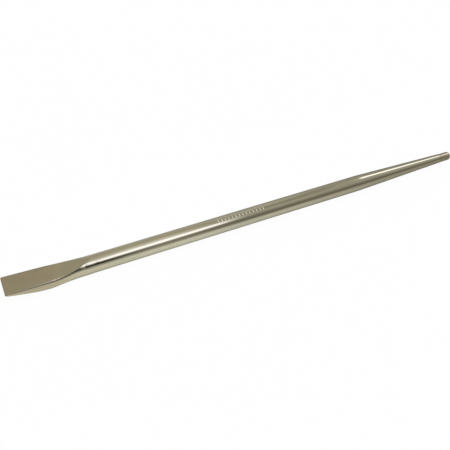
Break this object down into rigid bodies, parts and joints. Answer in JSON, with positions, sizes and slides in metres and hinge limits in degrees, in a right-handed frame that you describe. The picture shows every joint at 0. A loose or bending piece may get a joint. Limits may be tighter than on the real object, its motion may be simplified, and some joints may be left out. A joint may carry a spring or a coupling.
{
  "type": "pry bar",
  "caption": "Straight line-up pry bar: a round plated steel bar with a flat chisel blade at one end and a blunt tapered point at the other.",
  "frame": {"origin": "on the shank's axis, halfway between the chisel edge and the end of the point", "axes": "+X along the bar from the chisel edge to the point, +Z out of the flat blade face, +Y across the blade"},
  "size_m": [0.381, 0.0156, 0.0126],
  "materials": {
    "plated_steel": "warm grey nickel plate, bright on the shank and satin on the blade"
  },
  "bodies": {
    "root": {"bar": "plated_steel"}
  },
  "joints": []
}
